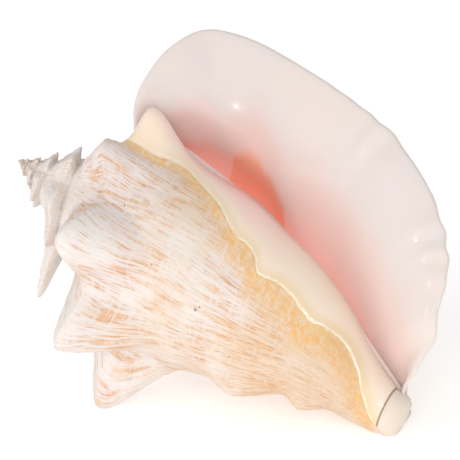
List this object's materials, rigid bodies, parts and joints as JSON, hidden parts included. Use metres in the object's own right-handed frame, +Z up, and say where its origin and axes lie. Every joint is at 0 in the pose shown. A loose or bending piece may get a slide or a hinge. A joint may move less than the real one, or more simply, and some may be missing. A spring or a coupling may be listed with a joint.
{
  "type": "conch shell",
  "caption": "Spiral sea shell with a knobbed pointed spire, a row of blunt spines on the shoulder, a wide flared lip and an open aperture down to a short canal.",
  "frame": {"origin": "centre of the bounding box's footprint, on the ground plane", "axes": "+Z up as the shell lies on its three resting points; -Y faces the side that shows the body whorl and the inside of the lip; the apex points to -X and the canal to +X"},
  "size_m": [0.2034, 0.1294, 0.1688],
  "materials": {
    "shell": "matt cream outside with tan growth streaks, glossy pearl-pink inside the lip and throat"
  },
  "bodies": {
    "root": {"conch_shell": "shell"}
  },
  "joints": []
}
